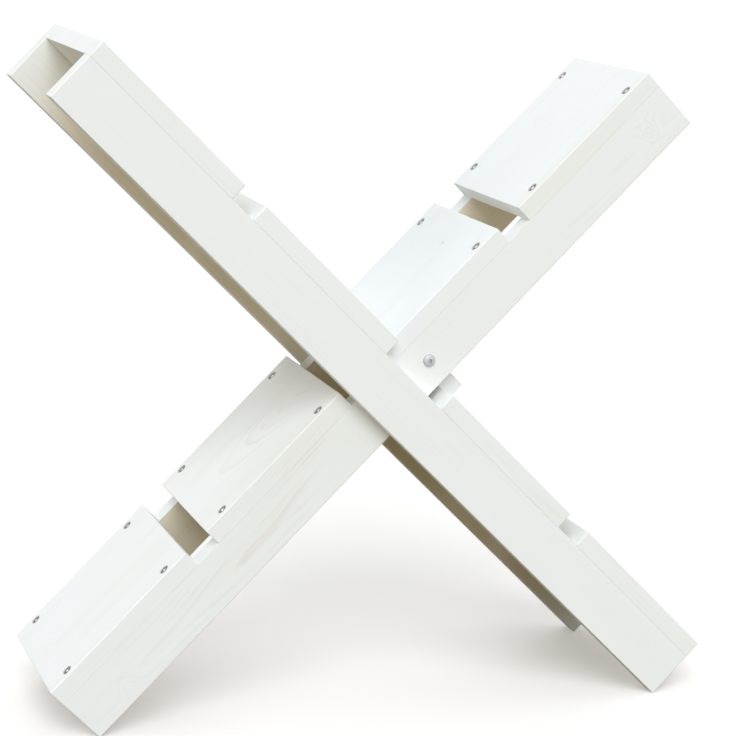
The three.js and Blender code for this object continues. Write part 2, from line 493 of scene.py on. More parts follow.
@dataclass(frozen=True)
class Grid:
    """Grid lines of a board's box on its three axes.

    A grid point's number is the sum of its line numbers, each times its axis's stride.
    """

    lines: tuple[Array, Array, Array]

    @property
    def strides(self) -> tuple[int, int, int]:
        """The stride of each axis."""
        return len(self.lines[1]) * len(self.lines[2]), len(self.lines[2]), 1

    def first(self, axis: int, side: int) -> int:
        """The lowest number on the face at one side of an axis."""
        return (len(self.lines[axis]) - 1) * self.strides[axis] if side > 0 else 0

    def places(self, numbers: Array) -> Array:
        """Turns grid points' numbers to their places on the box."""
        found = [(numbers // stride) % len(line) for stride, line in zip(self.strides, self.lines)]
        return np.stack([line[one] for line, one in zip(self.lines, found)], 1)

    def face(self, axis: int, side: int, bores: list[Bore]) -> Array:
        """Cuts one face of the box into quads.

        Args:
            axis: The axis that the face lies across.
            side: Which end of it, -1 or 1.
            bores: The board's bores, whose mouths are left open.

        Returns:
            Four numbers a quad.
        """
        u, v = (a for a in range(3) if a != axis)
        rows, columns = (np.arange(len(self.lines[a])) * self.strides[a] for a in (u, v))
        ids = self.first(axis, side) + rows[:, None] + columns
        cells = np.stack([ids[:-1, :-1], ids[1:, :-1], ids[1:, 1:], ids[:-1, 1:]], -1)
        middle_u, middle_v = ((self.lines[a][:-1] + self.lines[a][1:]) / 2 for a in (u, v))
        keep = np.ones(cells.shape[:2], bool)
        for bore in bores:
            if bore.axis == axis and side in bore.open_sides:
                far_u = np.abs(middle_u - bore.centre[0]) > bore.rim
                far_v = np.abs(middle_v - bore.centre[1]) > bore.rim
                keep &= far_u[:, None] | far_v
        return cells[keep]

    def rim(self, bore: Bore, side: int) -> Array:
        """Lists the grid points on the square round a bore's mouth, once round.

        Args:
            bore: The bore.
            side: The side of the board where it opens.

        Returns:
            Their numbers.
        """
        u, v = (
            np.flatnonzero(np.abs(self.lines[a] - middle) <= bore.rim * RIM_SLACK)
            for a, middle in zip(bore.cross, bore.centre)
        )
        still_u, still_v = np.ones(len(v) - 1, int), np.ones(len(u) - 1, int)
        walk_u = np.concatenate([u[:-1], u[-1] * still_u, u[:0:-1], u[0] * still_u])
        walk_v = np.concatenate([v[0] * still_v, v[:-1], v[-1] * still_v, v[:0:-1]])
        stride_u, stride_v = (self.strides[a] for a in bore.cross)
        return walk_u * stride_u + walk_v * stride_v + self.first(bore.axis, side)


@dataclass(frozen=True)
class Surface:
    """A board's closed surface in its beam's axes.

    It has points, their outward directions, how far each is bored (1 in a bore, less on its rim, 0
    elsewhere), quads, and the triples that close blind bores.
    """

    points: Array
    normal: Array
    bored: Array
    quads: Array
    triples: Array


@dataclass
class Board:
    """One whitewashed board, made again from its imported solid's place.

    Its seat is 1 if its top carries a panel, -1 if it lies on side boards, and 0 for neither. Inward
    points into the channel.
    """

    node: str
    beam: Beam
    grain: Grain
    seat: int = 0
    inward: Point = (0.0, 0.0, 0.0)
    bores: list[Bore] = field(default_factory=list)
    low: Array = field(init=False)
    high: Array = field(init=False)
    eases: Array = field(init=False)

    def __post_init__(self) -> None:
        """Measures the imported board, and settles its eases and its seat."""
        self.low, self.high = self.beam.extent(self.node)
        self.eases = np.full((2, 3), EASE_MM * MM)
        if self.seat:
            self.eases[(self.seat + 1) // 2, 2] = SEAT_EASE_MM * MM
        if self.seat < 0:
            self.low[2] -= SEAT_DROP_MM * MM

    def level(self, bore: Bore, side: int) -> float:
        """Where the board's face lies on a bore's axis, at one side."""
        return self.high[bore.axis] if side > 0 else self.low[bore.axis]

    def grid(self) -> Grid:
        """Places the board's grid lines.

        Returns:
            The grid, closer round the arrises and bores.
        """
        lines = []
        for axis in range(3):
            marks = {(round(b.centre[b.cross.index(axis)], 7), b.rim) for b in self.bores if axis != b.axis}
            lines.append(grid_lines((self.low[axis], self.high[axis]), tuple(self.eases[:, axis]), marks))
        return Grid(tuple(lines))

    def ease(self, box: Array) -> tuple[Array, Array]:
        """Pulls points of the board's box to the same box with rounded arrises.

        A point goes to its nearest one in the box shrunk by the eases, plus the eases times the unit
        vector of their offset over the eases.

        Args:
            box: Points of the box.

        Returns:
            The points and their outward directions.
        """
        core = np.clip(box, self.low + self.eases[0], self.high - self.eases[1])
        eases = np.where(box < core, self.eases[0], self.eases[1])
        away = (box - core) / eases
        away /= np.linalg.norm(away, axis=1, keepdims=True)
        normal = away / eases
        normal /= np.linalg.norm(normal, axis=1, keepdims=True)
        return core + eases * away, normal

    def open_mouths(self, bore: Bore, box: Array, points: Array) -> None:
        """Turns the grid's squares round a bore's mouths to circles.

        An offset from the bore's middle is scaled by its largest part over its length, which fades out
        to square again at BORE_REACH radii.

        Args:
            bore: The bore.
            box: Points of the box.
            points: The eased points, which are moved.
        """
        offset = box[:, bore.cross] - np.array(bore.centre)
        largest = np.abs(offset).max(1)
        for side in bore.open_sides:
            near = np.abs(box[:, bore.axis] - self.level(bore, side)) < FACE_SLACK
            near &= (largest > 0) & (largest < BORE_REACH * bore.rim)
            length = np.linalg.norm(offset[near], axis=1)
            fade = np.clip((largest[near] / bore.rim - 1) / (BORE_REACH - 1), 0, 1)
            scale = (largest[near] / length) * (1 - fade) + fade
            points[np.ix_(near, bore.cross)] = np.array(bore.centre) + offset[near] * scale[:, None]

    def wall(self, bore: Bore, rim: Array) -> list[Array]:
        """Sets the rings of a bore's wall: a circle of each step's radius at its depth.

        Args:
            bore: The bore. The last ring of a through one lies in the far face.
            rim: Points of its first mouth, which give the turns.

        Returns:
            The points of each ring, from the mouth inwards.
        """
        offset = rim[:, bore.cross] - np.array(bore.centre)
        turn = np.arctan2(offset[:, 1], offset[:, 0])
        steps = list(bore.steps[1:])
        if bore.through:
            steps[-1] = (steps[-1][0], self.high[bore.axis] - self.low[bore.axis])
        rings = []
        for radius, depth in steps:
            ring = np.empty((len(turn) if radius else 1, 3))
            ring[:, bore.cross] = bore.centre
            if radius:
                ring[:, bore.cross] += radius * np.stack([np.cos(turn), np.sin(turn)], 1)
            ring[:, bore.axis] = self.level(bore, bore.side) - bore.side * depth
            rings.append(ring)
        return rings

    def surface(self) -> Surface:
        """Works out the board's surface from eased grids and the walls of its bores.

        Returns:
            The closed surface.
        """
        grid = self.grid()
        quads = np.concatenate([grid.face(axis, side, self.bores) for axis in range(3) for side in (-1, 1)])
        used = np.unique(quads)
        box = grid.places(used)
        points, normal = self.ease(box)
        bored = np.zeros(len(points))
        faces = [np.searchsorted(used, quads)]
        floors = [np.empty((0, 3), int)]
        added = [np.empty((0, 3))]
        start = len(used)
        for bore in self.bores:
            self.open_mouths(bore, box, points)
            chain = [np.searchsorted(used, grid.rim(bore, side)) for side in bore.open_sides]
            bored[np.concatenate(chain)] = RIM_SHADE
            for ring in self.wall(bore, points[chain[0]]):
                chain.insert(len(chain) - bore.through, np.arange(start, start + len(ring)))
                added.append(ring)
                start += len(ring)
            if not bore.through:
                last, tip = chain[-2], chain.pop()
                floors.append(np.stack([last, np.roll(last, -1), np.full(len(last), tip[0])], 1))
            for one, two in zip(chain[:-1], chain[1:]):
                faces.append(np.stack([one, np.roll(one, -1), np.roll(two, -1), two], 1))
        inner = np.concatenate(added)
        return Surface(
            np.concatenate([points, inner]),
            np.concatenate([normal, np.zeros_like(inner)]),
            np.concatenate([bored, np.ones(len(inner))]),
            np.concatenate(faces),
            np.concatenate(floors),
        )

    def build(self, finish: Material) -> Object:
        """Makes the board's object.

        The surface is let down by less than a millimetre: planing waves, knots that dried and sank,
        and arrises that wore unevenly.

        Args:
            finish: The pine material.

        Returns:
            The board, riding on the rack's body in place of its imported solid.
        """
        made = self.surface()
        seed = self.grain.seed
        fields = self.grain.fields(made.points - (self.low + self.high) / 2)
        straight = np.abs(made.normal).max(1)
        arris = np.where(straight > 0, (1 - straight) / (1 - sqrt(0.5)), 0)
        planed = np.clip(0.5 + 0.5 * waves(made.points, PLANE_LENGTHS, seed + 5), 0, 1)
        wear = np.clip(waves(made.points, WEAR_LENGTHS, seed + 6), 0, 1) ** 2
        sunk = KNOT_SUNK_MM * smooth_step(-fields["knot"], -1.0, -0.7) + PLANED_MM * planed
        let_down = (sunk + arris * (ARRIS_MM + ARRIS_WEAR_MM * wear)) * MM
        points = made.points - made.normal * let_down[:, None]

        steps = THIN_WASH.get(self.node, (USUAL_WASH,))
        share = (points[:, 0] - self.low[0]) / (self.high[0] - self.low[0])
        start, stop = self.beam.extent(f"{self.beam.label}_side_board_front")
        reach = np.minimum(points[:, 0] - start[0], stop[0] - points[:, 0])
        facing_in = smooth_step(made.normal @ np.array(self.inward), *FACING)
        # The bore mask lays painted shade in the holes and round their rims.
        fields["bored"] = made.bored
        fields["bare"] = np.interp(share, np.linspace(0, 1, len(steps)), steps)
        fields["arris"] = np.clip(arris * (ARRIS_BARE + ARRIS_WORN_BARE * wear), 0, 1)
        fields["end"] = smooth_step(np.abs(made.normal[:, 0]), *FACING)
        # Painted shade on faces within the channel, fading out towards the beam's open ends.
        fields["inside"] = facing_in * smooth_step(reach, *SHADE_FADE_REACH)

        placed, faces = self.beam.to_rack(points), (made.quads, made.triples)
        return Stuff.WOOD.piece(self.node, placed, faces, fields, finish)


def turned_surface(radii: Array, heights: Array, ends: Pair) -> tuple[Array, tuple[Array, ...]]:
    """Makes a closed turned surface from rings, standing on Z.

    Args:
        radii: One row a ring and one column a turn, in metres.
        heights: The height of each ring.
        ends: Heights of the poles that close the first and the last ring.

    Returns:
        Its points, the two poles last, and its quads and triangles.
    """
    rows, sides = radii.shape
    turn = np.linspace(0, 2 * pi, sides, endpoint=False)
    tall = np.broadcast_to(heights[:, None], radii.shape)
    points = np.stack([radii * np.cos(turn), radii * np.sin(turn), tall], -1).reshape(-1, 3)
    poles = np.array([[0, 0, ends[0]], [0, 0, ends[1]]])
    ids = np.arange(rows * sides).reshape(rows, sides)
    after = np.roll(ids, -1, 1)
    quads = np.stack([ids[:-1], after[:-1], after[1:], ids[1:]], -1).reshape(-1, 4)
    first = np.stack([after[0], ids[0], np.full(sides, rows * sides)], -1)
    last = np.stack([ids[-1], after[-1], np.full(sides, rows * sides + 1)], -1)
    return np.concatenate([points, poles]), (quads, first, last)


class Recess(Enum):
    """What drives a fastener."""

    CROSS = "cross"
    HEXAGON = "hexagon"

    def outline(self, turn: Array, size: float) -> Array:
        """The recess's edge, as a radius for each turn about its axis.

        A cross is the farther of two slots' edges. A hexagon is its half width over the cosine of the
        turn from the nearest flat's middle.

        Args:
            turn: The turns.
            size: The cross's arm length, or half the hexagon's width.

        Returns:
            The radii.
        """
        if self is Recess.HEXAGON:
            from_flat = (turn + pi / 6) % (pi / 3) - pi / 6
            return size / np.cos(from_flat)
        never_zero = 1e-6
        along, beside = np.abs(np.cos(turn)) + never_zero, np.abs(np.sin(turn)) + never_zero
        half = size * CROSS_ARM
        return np.maximum(np.minimum(size / along, half / beside), np.minimum(half / along, size / beside))


@dataclass(frozen=True)
class Profile:
    """Half a fastener's section, from the middle of its recess to its tip.

    Floor and rings are radii and depths as shares of the head's radius, but the floor's radii are
    shares of the recess's edge. The core is a share of the crest, and the neck of the whole length.
    """

    floor: tuple[Pair, ...]
    rings: tuple[Pair, ...]
    crest: float
    core: float
    neck: float
    pitch: float


# A screw's head is flat with a cone below. A bolt's is a low dome: depths of 0.38 radii times one less
# the root of one less the squared share of the radius, and then a short upright rim.
PROFILES = {
    Recess.CROSS: Profile(
        floor=((0.3, 0.34), (0.72, 0.32), (1.0, 0.03)),
        rings=((0.6, 0.0), (0.9, 0.004), (0.98, 0.03), (1.0, 0.055), (0.56, 0.5)),
        crest=SCREW_RADIUS_MM * MM,
        core=0.72,
        neck=0.34,
        pitch=0.0031,
    ),
    Recess.HEXAGON: Profile(
        floor=((0.4, 0.36), (0.96, 0.34), (1.0, 0.05), (1.08, 0.012)),
        rings=(
            *((r, 0.38 * (1 - sqrt(1 - (0.98 * r) ** 2))) for r in (0.5, 0.66, 0.8, 0.9, 0.97)),
            *((1.0, 0.4), (1.0, 0.47), (0.98, 0.5), (0.42, 0.5)),
        ),
        crest=BOLT_RADIUS_MM * MM,
        core=0.86,
        neck=0.3,
        pitch=0.00175,
    ),
}


@dataclass
class Fastener:
    """A screw or a bolt. Heights are below the top of its head, along its axis."""

    node: str
    beam: Beam
    recess: Recess
    axis: int
    side: int
    roll: float
    centre: Array = field(init=False)
    head: float = field(init=False)
    length: float = field(init=False)

    def __post_init__(self) -> None:
        """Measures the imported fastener: head's middle and radius, and whole length."""
        low, high = self.beam.extent(self.node)
        self.centre = (low + high) / 2
        self.centre[self.axis] = high[self.axis] if self.side > 0 else low[self.axis]
        self.head = (high - low)[0] / 2
        self.length = (high - low)[self.axis]

    def thread(self, start: float, shape: Profile) -> tuple[Array, Array]:
        """A thread as rings, down to the tip.

        The radius rises from core to crest along a triangle wave of depth over pitch less one turn for
        each time round, so the crest winds down the shank.

        Args:
            start: The depth where it starts.
            shape: The fastener's profile.

        Returns:
            Radii and heights.
        """
        end, crest, pitch = self.length, shape.crest, shape.pitch
        core = crest * shape.core
        depth = np.linspace(start, end, round((end - start) / pitch * THREAD_STEPS))
        turn = np.linspace(0, 1, TURNED_SIDES, endpoint=False)
        phase = (depth[:, None] / pitch - turn[None, :]) % 1
        wave = np.clip(1 - np.abs(phase * 2 - 1) * CREST_STEEPNESS, 0, 1)
        taper = np.clip((end - depth) / (TAPER_TURNS * pitch), TIP_SHARE, 1)[:, None]
        rise = smooth_step(depth, start, start + RISE_TURNS * pitch)[:, None]
        return (core + (crest - core) * wave * rise) * taper, -depth

    def rings(self, shape: Profile) -> tuple[Array, Array]:
        """Lists all rings: recess, head, neck and thread.

        Args:
            shape: The fastener's profile.

        Returns:
            One row of radii a ring, and the heights.
        """
        turn = np.linspace(0, 2 * pi, TURNED_SIDES, endpoint=False)
        size = CROSS_LENGTH * self.head if self.recess is Recess.CROSS else BOLT_SOCKET_MM * MM
        edge = self.recess.outline(turn, size)
        round_ring = np.ones(TURNED_SIDES)
        radii = [edge * share for share, _ in shape.floor]
        radii += [round_ring * (share * self.head) for share, _ in shape.rings]
        radii += [round_ring * (shape.crest * NECK_SHARE)] * 2
        heights = [-depth * self.head for _, depth in (*shape.floor, *shape.rings)]
        neck = shape.neck * self.length
        heights += [heights[-1] - NECK_FILLET * self.head, -neck]
        wound, depths = self.thread(neck + THREAD_BELOW_NECK, shape)
        return np.concatenate([np.array(radii), wound]), np.concatenate([np.array(heights), depths])

    def build(self, finish: Material) -> Object:
        """Makes the fastener as one turned surface with its recess and thread.

        Args:
            finish: The steel.

        Returns:
            The fastener, riding on the rack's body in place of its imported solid.
        """
        shape = PROFILES[self.recess]
        radii, heights = self.rings(shape)
        points, faces = turned_surface(radii, heights, (heights[0], -self.length))
        x, y, z = points.T
        c, s = cos(self.roll), sin(self.roll)
        spun = np.stack([c * x - s * y, s * x + c * y, z], 1)
        if self.axis == 1:
            spun = np.stack([spun[:, 0], self.side * spun[:, 2], spun[:, 1]], 1)
        # The recess and its middle get the recess tone: a painted glint in a screw, painted shade in a
        # bolt.
        rubbed = np.zeros(len(points))
        rubbed[: len(shape.floor) * TURNED_SIDES] = 1.0
        rubbed[-2] = 1.0
        placed = self.beam.to_rack(spun + self.centre)
        return Stuff.STEEL.piece(self.node, placed, faces, {"rubbed": rubbed}, finish)


# How each board was cut: where the heart lay across it, how the heart drifts along it, and its knots.
# Side boards are listed front then back, and panels from the beam's top end to its foot.
SIDE_CUTS = {
    Beam.OUTER: (
        ((-0.060, 0.012), (0.009, -0.004), (Knot(0.645, -0.14, 0.16, 2.2),)),
        ((-0.052, -0.010), (0.012, 0.004), (Knot(-0.20, -0.12, 0.05, 3.0, True), Knot(0.45, 0.16, 0.04))),
    ),
    Beam.INNER: (
        ((-0.066, -0.006), (0.010, 0.003), (Knot(0.615, 0.10, 0.13, 3.4), Knot(-0.585, -0.16, 0.12, 2.0))),
        ((-0.057, 0.016), (0.013, -0.005), (Knot(0.35, 0.12, 0.05, 3.0, True), Knot(-0.30, -0.09, 0.05))),
    ),
}
PANEL_CUTS = {
    Beam.OUTER: (
        ((0.040, -0.080), (0.012, 0.034), (Knot(-0.05, 1.32, 0.06),)),
        ((-0.060, -0.095), (-0.008, 0.028), ()),
        ((0.020, -0.070), (0.015, 0.040), (Knot(0.02, 1.60, 0.07),)),
        ((-0.030, -0.088), (0.010, 0.030), (Knot(0.09, 1.48, 0.04, 3.0, True),)),
    ),
    Beam.INNER: (
        ((0.050, -0.090), (-0.014, 0.036), (Knot(0.02, 1.60, 0.07),)),
        ((-0.020, -0.074), (0.010, 0.042), (Knot(0.09, 1.48, 0.04, 3.0, True),)),
        ((-0.012, -0.112), (0.000, 0.085), (Knot(-0.005, 1.72, 0.16, 0.5),)),
        ((0.030, -0.082), (0.012, 0.030), (Knot(-0.12, 1.75, 0.07, 2.0),)),
    ),
}


@dataclass
class BeamAssembly:
    """One channel beam: its side boards, its panels and the screws through them."""

    beam: Beam
    seed: int

    @property
    def screw_nodes(self) -> list[str]:
        """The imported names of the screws, panel by panel."""
        return [f"{self.beam.label}_panel_{panel}_screw_{screw}" for panel in PANELS for screw in SCREWS]

    def screw_bores(self, node: str, deep: bool) -> list[Bore]:
        """Finds the holes that the screws need in one board.

        Args:
            node: The board.
            deep: True for a side board's pilot holes, False for a panel's countersunk ones.

        Returns:
            A bore for each screw whose axis passes through the board.
        """
        low, high = self.beam.extent(node)
        gap = HOLE_CLEARANCE_MM * MM
        shank = SCREW_RADIUS_MM * MM + gap
        chamfer = RIM_CHAMFER_MM * MM
        found = []
        for name in self.screw_nodes:
            tip, head = self.beam.extent(name)
            centre = (tip + head) / 2
            if np.any(centre[:2] < low[:2]) or np.any(centre[:2] > high[:2]):
                continue
            rim = (head[0] - tip[0]) / 2 + gap
            sunk = high[2] - head[2]
            if deep:
                end = high[2] - tip[2] + SCREW_RUN_OUT_MM * MM
                steps = ((shank, 0.0), (shank, end - 2 * shank), (0.0, end))
            else:
                seat = ((rim + chamfer, 0.0), (rim, chamfer), (rim, sunk))
                steps = (*seat, (shank, sunk + rim - shank), (shank, high[2] - low[2]))
            found.append(Bore(2, 1, (centre[0], centre[1]), steps, not deep))
        return found

    def boards(self) -> list[Board]:
        """Lists the beam's boards.

        Returns:
            Side boards and then panels, each with its own cut from the log and its own seed.
        """
        made = []
        for number, side in enumerate(("front", "back")):
            node = f"{self.beam.label}_side_board_{side}"
            grain = Grain(*SIDE_CUTS[self.beam][number], self.seed + 20 * number)
            inward = (0.0, 1.0 - 2.0 * number, 0.0)
            made.append(Board(node, self.beam, grain, 1, inward, self.screw_bores(node, True)))
        for panel in PANELS:
            node = f"{self.beam.label}_panel_{panel}"
            grain = Grain(*PANEL_CUTS[self.beam][panel - 1], self.seed + 60 + 20 * panel)
            made.append(Board(node, self.beam, grain, -1, (0.0, 0.0, -1.0), self.screw_bores(node, False)))
        return made

    def screws(self) -> list[Fastener]:
        """Lists the beam's screws.

        Returns:
            The screws, each stopped at its own turn.
        """
        rng = np.random.default_rng(self.seed + 7)
        made = []
        for node in self.screw_nodes:
            made.append(Fastener(node, self.beam, Recess.CROSS, 2, 1, rng.uniform(0, pi / 2)))
        return made


@dataclass
class CrossingStop:
    """The stop board in the inner beam's channel and the two bolts that hold it."""

    node: str = "stop_board"
    bolts: tuple[str, str] = ("stop_bolt_front", "stop_bolt_back")
    seed: int = 311
    hole: float = (BOLT_RADIUS_MM + HOLE_CLEARANCE_MM) * MM
    bolt_rolls: Pair = (0.1, 0.5)

    def side_bore(self, board: Board) -> Bore:
        """The bolt's hole through a side board of the inner beam.

        Args:
            board: The side board.

        Returns:
            The bore.
        """
        low, high = Beam.INNER.extent(self.bolts[0])
        centre = (low + high) / 2
        steps = ((self.hole, 0.0), (self.hole, float(board.high[1] - board.low[1])))
        return Bore(1, 1, (centre[0], centre[2]), steps, True)

    def board(self) -> Board:
        """The stop board.

        Returns:
            The board, with a blind hole in each end for its bolt.
        """
        grain = Grain((0.02, -0.07), (0.01, 0.02), (), self.seed)
        board = Board(self.node, Beam.OUTER, grain)
        for side, bolt in zip((-1, 1), self.bolts):
            low, high = Beam.OUTER.extent(bolt)
            centre = (low + high) / 2
            depth = high[1] - board.low[1] if side < 0 else board.high[1] - low[1]
            steps = ((self.hole, 0.0), (self.hole, depth), (0.0, depth + self.hole))
            board.bores.append(Bore(1, side, (centre[0], centre[2]), steps, False))
        return board

    def fasteners(self) -> list[Fastener]:
        """Lists the bolts.

        Returns:
            The front one and the back one.
        """
        return [
            Fastener(bolt, Beam.INNER, Recess.HEXAGON, 1, side, roll)
            for side, bolt, roll in zip((-1, 1), self.bolts, self.bolt_rolls)
        ]


@dataclass(frozen=True)
class Streaks:
    """A noise drawn out along the grain, and the band of it that shows.

    It has streaks to a metre along and across the grain, octaves and how rough they make it, and the
    levels between which the band rises from nothing to full.
    """

    along: float
    across: float
    octaves: float
    rough: float
    low: float
    high: float

    def draw(self, tree: Tree, fibre: Socket) -> tuple[Socket, Socket]:
        """Draws the streaks.

        Args:
            tree: The node tree.
            fibre: Places along, out from and round the heart.

        Returns:
            The noise as it is, and its band.
        """
        stretch = (self.along, self.across, self.across)
        place = add_node(tree, "VectorMath", {0: fibre, 1: stretch}, operation="MULTIPLY")
        noise = {"Vector": place.outputs[0], "Scale": 1.0, "Detail": self.octaves, "Roughness": self.rough}
        noise = add_node(tree, "TexNoise", noise).outputs["Fac"]
        band = {"Value": noise, "From Min": self.low, "From Max": self.high}
        band = add_node(tree, "MapRange", band, interpolation_type="SMOOTHSTEP")
        return noise, band.outputs["Result"]


# The wash lies thinner in patches 25 cm long, and its tone drifts along and between boards. Threads
# are fibres 30 mm long and a millimetre wide. Where the plane lifted the grain there are flecks 50 mm
# long, in loose drifts 30 cm long.
STREAKS = {
    "patch": Streaks(4.0, 26.0, 3.0, 0.6, 0.45, 0.72),
    "tone": Streaks(2.0, 7.0, 1.0, 0.5, 0.4, 0.85),
    "thread": Streaks(32.0, 850.0, 2.0, 0.55, 0.56, 0.78),
    "fleck": Streaks(20.0, 250.0, 4.0, 0.65, 0.57, 0.72),
    "drift": Streaks(3.1, 17.0, 1.0, 0.5, 0.48, 0.62),
}

# How much of the wood each cause lets through the wash. The share for faces within a channel is painted
# shade.
SHOWS = {
    **{"ring": 0.105, "thread": 0.06, "fleck": 0.085, "heart": 0.10, "bark": 0.025},
    **{"arris": 0.03, "end": 0.02, "inside": 0.52, "patch": 0.03},
}


@dataclass(frozen=True)
class WhitewashedPine:
    """Planed pine under a thin white wash: matt, with faint warm rings where the wash lies thinnest.

    The wash hides nearly all of the wood. Hard latewood, knots and worn arrises take less of it, and end
    grain drinks it in. Faces within a channel are painted darker and warmer as painted shade, and the
    screw holes and their rims are painted grey as painted shade. Latewood stands about a hundredth of a
    millimetre above the rest.
    """

    wash: str = "f1f4f5"
    warm_wash: str = "eff1ee"
    early_wood: str = "d9c998"
    late_wood: str = "b5976a"
    knot_wood: str = "96714c"
    # Painted shade in and round the screw holes, a grey laid over the wash.
    bruise: str = "74716c"
    least_show: float = 0.015
    # How much calmer the grain is under the channel's painted shade.
    inside_calm: float = 0.65
    rings_everywhere: float = 0.07
    ring_height: float = 0.6
    bruise_cover: float = 0.8
    heart_edges: Pair = (1.15, 0.75)
    bark_edges: Pair = (2.6, 1.0)
    roughness: float = 0.82
    roughness_spread: float = 0.18

    def late_line(self, tree: Tree, rings: Socket) -> Socket:
        """Draws a ring: pale earlywood that darkens slowly, and then a thin hard line of latewood.

        Args:
            tree: The node tree.
            rings: The count of rings.

        Returns:
            0 in earlywood and 1 on the line.
        """
        within = add_node(tree, "Math", {0: rings}, operation="FRACT").outputs[0]
        late = add_node(tree, "ValToRGB", {"Fac": within})
        ramp = late.color_ramp
        ramp.elements[0].color = (0.0, 0.0, 0.0, 1)
        ramp.elements[1].color = (0.05, 0.05, 0.05, 1)
        for position, value in ((0.5, 0.12), (0.8, 0.55), (0.9, 1.0), (0.96, 0.6)):
            ramp.elements.new(position).color = (value, value, value, 1)
        return late.outputs["Color"]

    def make(self) -> Material:
        """Builds the material from the boards' own growth fields.

        Rings and fibres show where the wash is thin or a knot is near. They, the flecks and the patches
        are calmer under the channel's painted shade and where the board took the wash well. A sum has its
        result, its operation and its terms. A layer has its result, its factor, and what lies under and
        over.

        Returns:
            The finish for every board.
        """
        material, tree = new_material("whitewashed_pine")
        made: dict[str, Socket | float] = {
            name: add_node(tree, "Attribute", attribute_name=name).outputs["Fac"]
            for name in ("rings", "knot", "swell", "arris", "end", "inside", "bored", "bare")
        }
        fibre = add_node(tree, "Attribute", attribute_name="fibre").outputs["Vector"]
        for name, streaks in STREAKS.items():
            made[name + "_noise"], made[name] = streaks.draw(tree, fibre)
        for name, (edge, full) in (("heart", self.heart_edges), ("bark", self.bark_edges)):
            band = {"Value": made["knot"], "From Min": edge, "From Max": full}
            band = add_node(tree, "MapRange", band, interpolation_type="SMOOTHSTEP")
            made[name] = band.outputs["Result"]
        made["line"] = self.late_line(tree, made["rings"])
        made["share"] = self.least_show
        least, spread = self.rings_everywhere, self.roughness_spread
        sums = (
            ("calm", "MULTIPLY_ADD", "inside", -self.inside_calm, 1.0),
            ("calm", "MULTIPLY", "calm", "bare"),
            ("clear", "MULTIPLY_ADD", "patch", 1 - least, least),
            ("clear", "MAXIMUM", "clear", "swell"),
            ("fleck", "MULTIPLY", "fleck", "drift"),
            *((name, "MULTIPLY", name, "calm") for name in ("clear", "fleck", "patch")),
            ("ring", "MULTIPLY", "line", "clear"),
            ("thread", "MULTIPLY", "thread", "clear"),
            *(("share", "MULTIPLY_ADD", name, show, "share") for name, show in SHOWS.items()),
            ("drawn", "MULTIPLY", "line", "calm"),
            ("hole_shaded", "MULTIPLY", "bored", self.bruise_cover),
            ("raised", "MULTIPLY_ADD", "line", self.ring_height, "thread_noise"),
            ("rough", "MULTIPLY_ADD", "thread_noise", spread, self.roughness - spread / 2),
        )
        for name, operation, *terms in sums:
            inputs = {number: made.get(term, term) for number, term in enumerate(terms)}
            made[name] = add_node(tree, "Math", inputs, operation=operation).outputs[0]

        # Wood from early to late, knots in it, the wash over both, and painted shade in and round the screw
        # holes last.
        layers = (
            ("wash", "tone", linear(self.wash), linear(self.warm_wash)),
            ("wood", "drawn", linear(self.early_wood), linear(self.late_wood)),
            ("wood", "heart", "wood", linear(self.knot_wood)),
            ("colour", "share", "wash", "wood"),
            ("colour", "hole_shaded", "colour", linear(self.bruise)),
        )
        for name, factor, under, over in layers:
            inputs = {"Factor": made[factor], "A": made.get(under, under), "B": made.get(over, over)}
            made[name] = add_node(tree, "Mix", inputs, data_type="RGBA").outputs["Result"]
        bump = {"Height": made["raised"], "Strength": 0.1, "Distance": 0.0001}
        bump = add_node(tree, "Bump", bump).outputs["Normal"]
        inputs = {"Base Color": made["colour"], "Roughness": made["rough"], "Normal": bump}
        inputs |= {"IOR": 1.45, "Specular IOR Level": 0.15}
        shader = add_node(tree, "BsdfPrincipled", inputs)
        add_node(tree, "OutputMaterial", {"Surface": shader.outputs["BSDF"]})
        return material


@dataclass(frozen=True)
class ZincSteel:
    """Cold-formed steel with a dull zinc plate: grey, with soft cloudy spangle and fine turning marks.

    The recess has a tone of its own: a painted glint in a screw's cross, and a little painted shade in a
    bolt's socket. Clouds are 2.4 mm across and turning marks 0.4 mm.
    """

    name: str
    colour: str
    dark: str
    burnished: str
    roughness: float
    roughness_spread: float = 0.2
    clouds: float = 420.0
    marks: float = 2600.0

    def make(self) -> Material:
        """Builds the plated steel.

        Returns:
            The material.
        """
        material, tree = new_material(self.name)
        place = add_node(tree, "TexCoord").outputs["Object"]
        cloud, fine = (
            add_node(tree, "TexNoise", {"Vector": place, "Scale": size, "Detail": octaves}).outputs[0]
            for size, octaves in ((self.clouds, 3.0), (self.marks, 1.0))
        )
        # The recess's own tone goes over last: painted glint for screws, painted shade for bolts.
        rubbed = add_node(tree, "Attribute", attribute_name="rubbed").outputs["Fac"]
        tone = linear(self.dark)
        for factor, over in ((cloud, self.colour), (rubbed, self.burnished)):
            layer = {"Factor": factor, "A": tone, "B": linear(over)}
            tone = add_node(tree, "Mix", layer, data_type="RGBA").outputs["Result"]
        spread = self.roughness_spread
        rough = {0: cloud, 1: spread, 2: self.roughness - spread / 2}
        rough = add_node(tree, "Math", rough, operation="MULTIPLY_ADD").outputs[0]
        bump = add_node(tree, "Bump", {"Height": fine, "Strength": 0.2, "Distance": 0.00003})
        inputs = {"Base Color": tone, "Metallic": 1.0, "Roughness": rough, "Normal": bump.outputs["Normal"]}
        shader = add_node(tree, "BsdfPrincipled", inputs)
        add_node(tree, "OutputMaterial", {"Surface": shader.outputs["BSDF"]})
        return material


